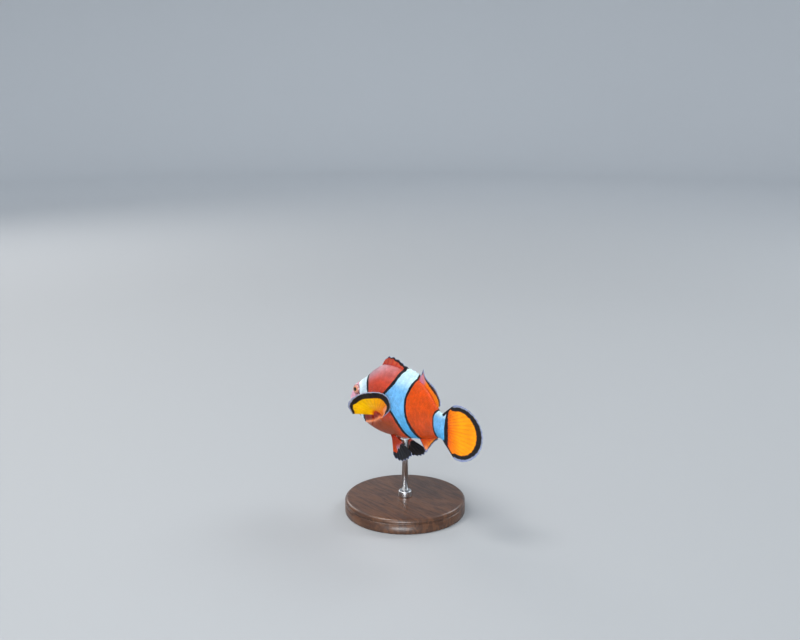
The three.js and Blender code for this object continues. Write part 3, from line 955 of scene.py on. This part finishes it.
def fin_piece(node, root, tips, look, material):
    """A fin: a thin membrane over a fan of raised rays, closed all round.

    root(t) and tips(t) are the two ends of the ray at t.
    """
    t = np.linspace(0, 1, look.rays * look.fineness + 1)[:, None]
    r = np.linspace(0, 1, look.reach_steps)[None, :]
    start, end = root(t[:, 0])[:, None], tips(t[:, 0])[:, None]
    between = 0.5 + 0.5 * np.cos(2 * math.pi * t * look.rays)
    corners = ridge(t, 0.05) + ridge(1 - t, 0.05)
    reach = r * (1 - look.scallop * between - look.corner * corners)
    middle = start + (end - start) * reach[..., None]
    normal = unit(np.cross(np.gradient(middle, axis=0), np.gradient(middle, axis=1)))
    middle = middle + normal * look.wave(t, r)[..., None]
    length = np.linalg.norm(end - start, axis=-1)

    rays = fin_ridges(t, r, look.rays, look.forks)
    thin = look.membrane + look.ray_height * (1 - 0.6 * r) * rays
    swell = look.swell * np.exp(-(r * length / look.swell_reach) ** 2)
    half = (thin + swell) * (1 - 0.6 * smooth((r - 0.97) / 0.03))
    outward = normal * half[..., None]
    points = np.concatenate([(middle + outward).reshape(-1, 3), (middle - outward).reshape(-1, 3)])
    rows, columns = middle.shape[:2]
    under = rows * columns
    faces = grid_faces(rows, columns).tolist()
    faces += grid_faces(rows, columns, start=under)[:, ::-1].tolist()
    numbers = np.arange(under).reshape(rows, columns)
    rim = [*numbers[:-1, 0], *numbers[-1, :-1], *numbers[:0:-1, -1], *numbers[0, :0:-1]]
    faces += [[a, under + a, under + b, b] for a, b in zip(rim, rim[1:] + rim[:1])]
    marks = fin_marks(look, middle, t, r, length, rays)
    name = "fin_" + node.replace("_fin", "")
    make_piece(name, place(points), faces, material, [node], marks)


def along_edge(edge, start, end, side):
    """A fin's root along the back (side 1) or the belly (-1), as in the frame."""
    def root(t):
        u = mix(start, end, t)
        return np.stack([u, edge(u) + side * FIN_CLEARANCE, 0 * u], -1)
    return root


def fan(root, rays, sink):
    """A fin's sunken root and its tips. sink is the way from the frame's root into the body."""
    def sunken(t):
        return root(t) + np.array(sink)

    def tips(t):
        return root(t) + through_vectors(rays, t)
    return sunken, tips


def on_side(rays, side):
    """A left fin's rays, or their mirror image for the right one."""
    return [[u, h, side * l] for u, h, l in rays]


def spiny_dorsal(material):
    rays = [[1.8, 1.9], [1.7, 3.4], [2.5, 2.8], [2.9, 1.5], [3.0, 1.1], [2.6, 1.2], [1.2, 2.0]]
    root, tips = fan(along_edge(back, 18.6, 40.5, 1), rays, (0, -0.9, 0))
    look = FinLook(
        rays=10, fineness=16, scallop=0.1, membrane=0.07, ray_height=0.2, banded=True,
        black=[-0.3, 0.6, 1.1, 1.2, -0.3, -0.3, -0.3],
        fringe=[0.1, 0.12, 0.12, 0.12, -0.3, -0.3, -0.3],
        wave=lambda t, r: 0.18 * r * np.sin(2 * math.pi * 2.2 * t),
        ground=lambda t, r, u: layered(FIN_CRIMSON, (SALMON, 0.6 * smooth(t / 0.5))),
    )
    fin_piece("dorsal_fin_spiny", root, tips, look, material)


def soft_dorsal_ground(t, r, u):
    return layered(
        FIN_RED,
        (FIN_ORANGE, smooth((r - 0.08) / 0.25)),
        (FIN_YELLOW, 0.5 * smooth((r - 0.5) / 0.3)),
        (FIN_PINK, 0.85 * smooth((0.3 - t) / 0.15)),
    )


def soft_dorsal(material):
    rays = [[3.4, 5.1], [2.4, 3.0], [3.2, 2.2], [4.8, 2.6], [6.6, 3.1], [6.9, 2.6], [4.0, 0.9]]
    root, tips = fan(along_edge(back, 40.4, 54.4, 1), rays, (-0.4, -0.9, 0))
    look = FinLook(
        rays=15, forks=(0.5,), scallop=0.03, corner=0.03, banded=True,
        black=[-0.3, 1.0, 1.7, 2.0, 2.0, 1.9, 1.3], fringe=[0.5, 0.5, 0.5, 0.6, 0.6, 0.6, 0.4],
        fringe_sides=(0.45, -1),
        wave=lambda t, r: 0.3 * r * r * np.sin(2 * math.pi * 1.5 * t + 0.6),
        ground=soft_dorsal_ground,
    )
    fin_piece("dorsal_fin_soft", root, tips, look, material)


def anal_ground(t, r, u):
    tip = smooth((0.3 - t) / 0.25) * smooth((r - 0.5) / 0.3)
    return layered(
        FIN_RED,
        (DEEP_ORANGE, smooth(r / 0.3)),
        (FIN_GOLD, 0.75 * smooth((r - 0.4) / 0.45) * smooth((t - 0.1) / 0.3)),
        (FIN_SALMON, 0.9 * tip),
    )


def anal(material):
    rays = [[4.2, -4.5], [3.4, -2.8], [3.5, -1.4], [3.6, -0.3], [3.4, 0.4], [2.4, 0.6]]
    root, tips = fan(along_edge(belly, 39.6, 52.4, -1), rays, (-0.3, 0.9, 0))
    look = FinLook(
        rays=14, forks=(0.5,), scallop=0.03, corner=0.04, black=[0.3, 0.5, 0.7, 0.8, 0.8, 0.7],
        fringe=[0.9, 0.2, 0.2, 0.2, 0.2, 0.2], black_sides=(0.55, -1), fringe_sides=(0.25, -1),
        wave=lambda t, r: 0.25 * r * r * np.sin(2 * math.pi * 1.3 * t), ground=anal_ground,
    )
    fin_piece("anal_fin", root, tips, look, material)


TAIL_ROOT = BODY_LENGTH - 1.3
TAIL_ROOT_TOP, TAIL_ROOT_BOTTOM = 5.115, -5.301
TAIL_CENTRE = (69.4, -0.6)
TAIL_HALF_LENGTH, TAIL_HALF_HEIGHT = 9.8, 10.7
TAIL_OPEN_AT = math.radians(104)


def caudal(material):
    def root(t):
        return np.stack([TAIL_ROOT + 0 * t, mix(TAIL_ROOT_TOP, TAIL_ROOT_BOTTOM, t), 0 * t], -1)

    def tips(t):
        angle = mix(TAIL_OPEN_AT, -TAIL_OPEN_AT, t)
        u = TAIL_CENTRE[0] + TAIL_HALF_LENGTH * np.cos(angle)
        return np.stack([u, TAIL_CENTRE[1] + TAIL_HALF_HEIGHT * np.sin(angle), 0 * t], -1)

    def ground(t, r, u):
        return layered(FIN_RED, (FIN_ORANGE, smooth((u - 62) / 4)), (FIN_GOLD, smooth((u - 65) / 5)))

    look = FinLook(
        rays=17, fineness=14, reach_steps=80, forks=(0.35, 0.68), scallop=0.008, corner=0.02,
        ray_height=0.14, swell=0.3, swell_reach=2.6, banded=True,
        black=[2.3, 2.4, 2.6, 2.7, 2.65, 2.6, 2.4, 2.3, 2.2],
        fringe=[0.8, 0.8, 0.6, 0.5, 0.53, 0.55, 0.7, 0.8, 0.8], black_sides=(1.0, 0.9),
        wave=lambda t, r: 0.5 * r * r * np.sin(2 * math.pi * 1.2 * t + 0.4), ground=ground,
    )
    fin_piece("tail_fin", root, tips, look, material)


# The left pectoral fin is raised and cupped over its arched root; the right one trails.
RAISED_ROOT = [(19.2, -3.3), (19.8, -1.9), (21.2, -1.5), (22.4, -2.6), (22.8, -4.2)]
RAISED_RAYS = [
    [0.5, 3.5, 12.4], [-0.5, 6.8, 12.4], [2.3, 9.6, 9.8], [5.4, 10.6, 6.9],
    [7.6, 9.9, 3.3], [8.2, 7.8, 0.9], [7.8, 4.8, 0.8], [3.3, 1.7, 0.9],
]
TRAILING_ROOT = [(21.7, -1.4), (20.3, -4.9)]
TRAILING_RAYS = [
    [9.5, 2.5, 2.6], [12.6, 1.4, 4.6], [12.8, -0.8, 5.8], [10.4, -3.4, 6.0], [5.8, -4.6, 4.8],
]


def raised_cup(t, r):
    return 0.9 * np.sin(math.pi * r) * np.sin(math.pi * t) + 0.15 * r * np.sin(2 * math.pi * 3 * t)


def trailing_cup(t, r):
    return 0.5 * np.sin(math.pi * r) + 0.15 * r * np.sin(2 * math.pi * 2 * t)


def pectoral_ground(t, r, u):
    """Yellow on the upper rays and orange on the lower, with a red root, and salmon last rays
    whose flesh colour is lightened by a painted highlight on their lit edge.
    """
    rays = layered(FIN_YELLOW, (FIN_ORANGE, smooth((t - 0.2) / 0.7)))
    tip = smooth((t - 0.72) / 0.08) * smooth((r - 0.35) / 0.2)
    # salmon on the last rays: flesh colour with a painted highlight along their lit lower edge
    flesh_and_highlight = np.maximum(tip, smooth((t - 0.93) / 0.04))
    return layered(FIN_RED, (rays, smooth(r / 0.18)), (FIN_SALMON, flesh_and_highlight))


def pectoral(word, side, root_line, rays, material, **shape):
    def root(t):
        u, h, _ = through_vectors(root_line, t).T
        return np.stack([u, h, side * (flank(u, h) + FIN_CLEARANCE)], -1)

    sunken, tips = fan(root, on_side(rays, side), (-0.3, 0, -side * 1.2))
    look = FinLook(
        rays=16, reach_steps=72, forks=(0.45, 0.72), scallop=0.012, ray_height=0.1, swell=0.4,
        swell_reach=2.0, ground=pectoral_ground, **shape,
    )
    fin_piece(f"pectoral_fin_{word}", sunken, tips, look, material)


PELVIC_ROOT = [(24.6, 0.9), (26.8, 2.0)]  # along the spine, and out from the midline
PELVIC_RAYS = [[3.0, -7.6, 2.4], [7.0, -8.0, 2.8], [10.8, -6.6, 2.4], [13.6, -4.2, 1.8]]


def pelvic_ground(t, r, u):
    # a blue-grey painted highlight over the fin's dark outer part
    painted_grey_highlight = smooth((t - 0.25) / 0.2) * smooth((r - 0.35) / 0.3)
    return layered(DARK_RED, (DEEP_ORANGE, r), (FRINGE_GREY, painted_grey_highlight))


def pelvic(word, side, material):
    def root(t):
        u, l = [mix(first, last, t) for first, last in zip(*PELVIC_ROOT)]
        middle, half_height = section(u)
        drop = half_height * np.sqrt(1 - (l / half_width(u)) ** 2)
        return np.stack([u, middle - drop - FIN_CLEARANCE, side * l], -1)

    sunken, tips = fan(root, on_side(PELVIC_RAYS, side), (-0.3, 1.0, 0))
    look = FinLook(
        rays=6, fineness=20, forks=(0.4, 0.7), scallop=0.04, corner=0.06, membrane=0.08,
        ray_height=0.16, swell=0.35, swell_reach=1.6, black=[1.5, 5.5, 6.5, 6.5, 5.0],
        fringe=[0.2, 0.2], wave=lambda t, r: 0.35 * r * np.sin(2 * math.pi * t),
        ground=pelvic_ground,
    )
    fin_piece(f"pelvic_fin_{word}", sunken, tips, look, material)


def build_fins():
    material = fin_material()
    spiny_dorsal(material)
    soft_dorsal(material)
    anal(material)
    caudal(material)
    pectoral("left", 1, RAISED_ROOT, RAISED_RAYS, material, wave=raised_cup, corner=0.09,
             black=[1.3, 3.2, 3.4, 3.6, 3.1, 2.7, 1.9, 0.5],
             fringe=[0.2, 1.0, 0.6, 0.4, 0.35, 0.3, 0.3, 0.3])
    pectoral("right", -1, TRAILING_ROOT, TRAILING_RAYS, material, wave=trailing_cup, corner=0.05,
             black=[1.6, 2.8, 3.0, 2.6, 1.4], fringe=[0.5, 0.6, 0.6, 0.5, 0.4])
    for word, side in SIDES:
        pelvic(word, side, material)


# ---- eyes ----

PUPIL, IRIS = 0.82, 1.95  # radii
CORNEA_BULGE, CORNEA_RADIUS = 0.16, 1.3
EYE_LEAN = (0.06, 0.18)  # back and up, for each 1 out
EYE_SIDES, EYE_STEPS = 64, 60


def eye_material():
    """A black pupil in a gold ring, a veined iris and a dark rim, under the cornea's gloss."""
    nodes = Nodes("eye", Roughness=0.3, Coat_Weight=0.6, Coat_Roughness=0.06)
    rho = nodes.mark("rho")
    veins = nodes.noise(2400, 4, 0.6, nodes.place())
    wavering = nodes.calculate("ADD", rho, nodes.from_noise(veins, -0.14, 0.14))
    rings_out = [
        (rho, PUPIL - 0.03, PUPIL + 0.03, (222, 150, 96)),
        (wavering, PUPIL + 0.08, PUPIL + 0.3, (196, 124, 104)),
        (wavering, 1.2, 1.8, (172, 108, 108)),
        (rho, IRIS - 0.28, IRIS - 0.04, (104, 60, 64)),
        (rho, IRIS + 0.02, IRIS + 0.16, (206, 146, 164)),
    ]
    colour = solid_colour(paint(4, 4, 6))
    for distance, inner, outer, shown in rings_out:
        colour = nodes.blend(nodes.spread(distance, inner, outer), colour, solid_colour(paint(*shown)))
    return nodes.surface(Base_Color=colour, Normal=nodes.bump(veins, 0.00004, 0.4))


def build_eye(word, side, material):
    """A ball that looks out, a little up and a little back, with the cornea's bulge in front."""
    polar = np.radians(np.linspace(180, 0, EYE_STEPS + 1))
    radius, front = EYE_RADIUS * np.sin(polar), EYE_RADIUS * np.cos(polar)
    front = front + CORNEA_BULGE * ridge(radius, CORNEA_RADIUS) * (front > 0)
    points, faces = lathe(np.stack([radius, front], -1), EYE_SIDES)
    out = unit(np.array([*EYE_LEAN, side]))
    across = unit(np.cross([0, 1, 0], out))
    axes = np.stack([across, np.cross(out, across), out])
    centre = [EYE_U, EYE_H, side * (flank(EYE_U, EYE_H) - EYE_DEPTH)]
    marks = {"rho": np.hypot(points[:, 0], points[:, 1])}
    placed = place(centre + points @ axes)
    make_piece(f"eye_ball_{word}", placed, faces, material, [f"eye_{word}"], marks)


# ---- stand ----

BASE_RADIUS, BASE_TOP = 24.0, 6.0
ROD_RADIUS, ROD_FOOT, ROD_TOP = 1.25, 6.0, 30.2
COLLAR_RADIUS, COLLAR_TOP = 2.6, 8.5
PAD_RADIUS, PAD_FOOT, PAD_TOP = 1.75, ROD_TOP - 0.15, ROD_TOP + 0.5


def walnut():
    nodes = Nodes("walnut", Coat_Weight=0.25, Coat_Roughness=0.2)
    growth = nodes.noise(1.6, 5, 0.55, nodes.place((22, 150, 60)))
    fibres = nodes.noise(1.0, 6, 0.7, nodes.place((260, 3200, 1600)))
    bands = nodes.spread(nodes.waves(growth, 34.0), -1, 1, 0, 0.6)
    weight = nodes.calculate("ADD", bands, nodes.from_noise(fibres, 0, 0.4))
    light, dark = solid_colour(paint(98, 62, 38)), solid_colour(paint(58, 34, 22))
    return nodes.surface(
        Base_Color=nodes.blend(weight, light, dark),
        Roughness=nodes.from_noise(fibres, 0.32, 0.48),
        Normal=nodes.bump(fibres, 0.00003, 0.6),
    )


def brushed_steel():
    nodes = Nodes("brushed_steel", Metallic=1.0)
    lines = nodes.noise(1.0, 4, 0.7, nodes.place((9000, 9000, 120)))
    dull, bright = (0.52, 0.53, 0.55, 1), (0.68, 0.69, 0.7, 1)
    return nodes.surface(
        Base_Color=nodes.blend(nodes.from_noise(lines), dull, bright),
        Roughness=nodes.from_noise(lines, 0.22, 0.36),
        Normal=nodes.bump(lines, 0.000008, 0.4),
    )


def soft_pad():
    nodes = Nodes("soft_pad", Roughness=0.5, Subsurface_Weight=0.2)
    speck = nodes.noise(1800, 3, 0.6, nodes.place())
    colour = nodes.blend(nodes.from_noise(speck), (0.62, 0.62, 0.6, 1), (0.72, 0.72, 0.7, 1))
    return nodes.surface(Base_Color=colour)


def rounded(radius, height, reach, start, end, count):
    """Points of a rounded corner about [radius, height], from one angle to another in degrees."""
    angle = np.radians(np.linspace(start, end, count))
    return np.stack([radius + reach * np.cos(angle), height + reach * np.sin(angle)], -1).tolist()


def turned(name, foot, side, top, sides, material, replaced=()):
    """A piece of the stand, turned from its foot to its top. side is [radius, height] between them."""
    points, faces = lathe([[0, foot], *side, [0, top]], sides)
    make_piece(name, points * MM, faces, material, replaced)


def build_stand():
    steel = brushed_steel()
    base = rounded(BASE_RADIUS - 0.5, 0.5, 0.5, -90, 0, 5)
    base += rounded(BASE_RADIUS, 4.2, 0.35, -90, -270, 7)
    base += rounded(BASE_RADIUS - 1.4, BASE_TOP - 1.4, 1.4, 0, 90, 10)
    rod = [[ROD_RADIUS, ROD_FOOT]] + rounded(ROD_RADIUS - 0.2, ROD_TOP - 0.2, 0.2, 0, 90, 5)
    collar = rounded(COLLAR_RADIUS - 0.25, ROD_FOOT + 0.25, 0.25, -90, 0, 5)
    collar += rounded(COLLAR_RADIUS - 0.4, COLLAR_TOP - 0.4, 0.4, 0, 90, 6)
    pad = rounded(PAD_RADIUS - 0.25, ROD_TOP + 0.1, 0.25, -90, 90, 8)
    turned("stand_base_turned", 0, base, BASE_TOP, 128, walnut(), ["stand_base"])
    turned("stand_rod_round", ROD_FOOT, rod, ROD_TOP, 48, steel, ["stand_rod"])
    turned("stand_collar_round", ROD_FOOT, collar, COLLAR_TOP, 64, steel, ["stand_collar"])
    turned("stand_pad", PAD_FOOT, pad, PAD_TOP, 48, soft_pad())


# ---- camera, light and floor ----

CAMERA_AZIMUTH, CAMERA_ELEVATION = math.radians(50), math.radians(13.45)
CAMERA_DISTANCE = 434.9
AIM_U = 27.35
AIM_RIGHT, AIM_UP = 0.85, 34.75  # how far the aim passes beside and over that place, millimetres
FOCAL_PIXELS, FRAME_WIDTH, SENSOR = 1099, 800, 36
FLOOR_RADIUS, COVE_RADIUS, WALL_TOP, FLOOR_SIDES = 1300, 300, 1500, 96  # lengths in millimetres
GREY_REACH = 1.6  # how far from its middle the floor is greyer, in metres
FLOOR_GREY, FLOOR_PALE = (0.41, 0.42, 0.43, 1), (0.68, 0.7, 0.72, 1)
SKY_COLOUR, SKY_STRENGTH = (0.82, 0.9, 1.0, 1), 0.64
LAMP_AIM = Vector((0, 0, 0.04))
# Each lamp's name, place and width in metres, power in watts, tint, and beam in degrees.
LAMPS = [
    ("key", (-0.12, -0.4, 0.85), 0.35, 4.5, (1.0, 0.98, 0.95), 180),
    ("fill", (0.5, -0.55, 0.2), 0.45, 0.9, (0.9, 0.96, 1.0), 70),
    ("back", (0.1, 0.7, 0.6), 0.4, 2.4, (0.92, 0.97, 1.0), 180),
    ("side", (-0.75, 0.05, 0.45), 0.4, 1.6, (1.0, 0.97, 0.94), 180),
]


def build_camera():
    a, e = CAMERA_AZIMUTH, CAMERA_ELEVATION
    backward = Vector((math.sin(a) * math.cos(e), -math.cos(a) * math.cos(e), math.sin(e)))
    right = Vector((math.cos(a), math.sin(a), 0))
    up = backward.cross(right)
    aim = Vector(place([AIM_U, 0, 0])) + (AIM_RIGHT * right + AIM_UP * up) * MM
    data = bpy.data.cameras.new("camera")
    data.sensor_width = SENSOR
    data.lens = SENSOR * FOCAL_PIXELS / FRAME_WIDTH
    data.clip_start, data.clip_end = 0.01, 10
    camera = bpy.data.objects.new("camera", data)
    turn = Matrix((right, up, backward)).transposed().to_4x4()
    camera.matrix_world = Matrix.Translation(aim + backward * CAMERA_DISTANCE * MM) @ turn
    bpy.context.scene.collection.objects.link(camera)
    bpy.context.scene.camera = camera


def build_floor():
    """A pale floor, greyer in the lamps' light, that curves up into a round backdrop."""
    nodes = Nodes("floor_paper", Roughness=0.7)
    from_middle = {"Vector": nodes.place([1 / GREY_REACH] * 3)}
    nearness = nodes.add("TexGradient", from_middle, gradient_type="SPHERICAL")
    tint = nodes.blend(nodes.spread(nearness, 0.2, 0.75), FLOOR_PALE, FLOOR_GREY)
    turn = np.linspace(0, math.pi / 2, 16)
    out, up = FLOOR_RADIUS + COVE_RADIUS * np.sin(turn), COVE_RADIUS - COVE_RADIUS * np.cos(turn)
    cove = np.stack([out, up], -1)
    profile = np.vstack([[400, 0], [900, 0], cove, [FLOOR_RADIUS + COVE_RADIUS, WALL_TOP]])
    points = np.vstack([rings(profile, FLOOR_SIDES), [0, 0, 0]]) * MM
    faces = grid_faces(len(profile), FLOOR_SIDES, wrap=True).tolist()
    faces += fan_faces(len(points) - 1, range(FLOOR_SIDES))
    smooth_object("floor", points, faces, nodes.surface(Base_Color=tint))


def build_lamps():
    for name, location, width, power, tint, beam in LAMPS:
        data = bpy.data.lights.new(name, "AREA")
        data.shape = "DISK"
        data.size, data.energy, data.color, data.spread = width, power, tint, math.radians(beam)
        lamp = bpy.data.objects.new(name, data)
        lamp.location = location
        lamp.rotation_mode = "QUATERNION"
        lamp.rotation_quaternion = (LAMP_AIM - lamp.location).to_track_quat("-Z", "Y")
        bpy.context.scene.collection.objects.link(lamp)


def build_sky():
    world = bpy.data.worlds.new("sky")
    world.use_nodes = True
    sky = world.node_tree.nodes["Background"].inputs
    sky["Color"].default_value = SKY_COLOUR
    sky["Strength"].default_value = SKY_STRENGTH
    bpy.context.scene.world = world
    bpy.context.scene.view_settings.view_transform = "Standard"


build_camera()
build_floor()
build_lamps()
build_sky()
build_stand()
skin = Skin()
build_skin(skin, skin_material())
scales, eyes = scale_material(), eye_material()
for region, keep in (("", lambda u: u >= HEAD_END), ("_head", lambda u: u < HEAD_END)):
    for word, side in SIDES:
        build_scales(skin, f"scales{region}_{word}", side, keep, scales)
build_fins()
for word, side in SIDES:
    build_eye(word, side, eyes)
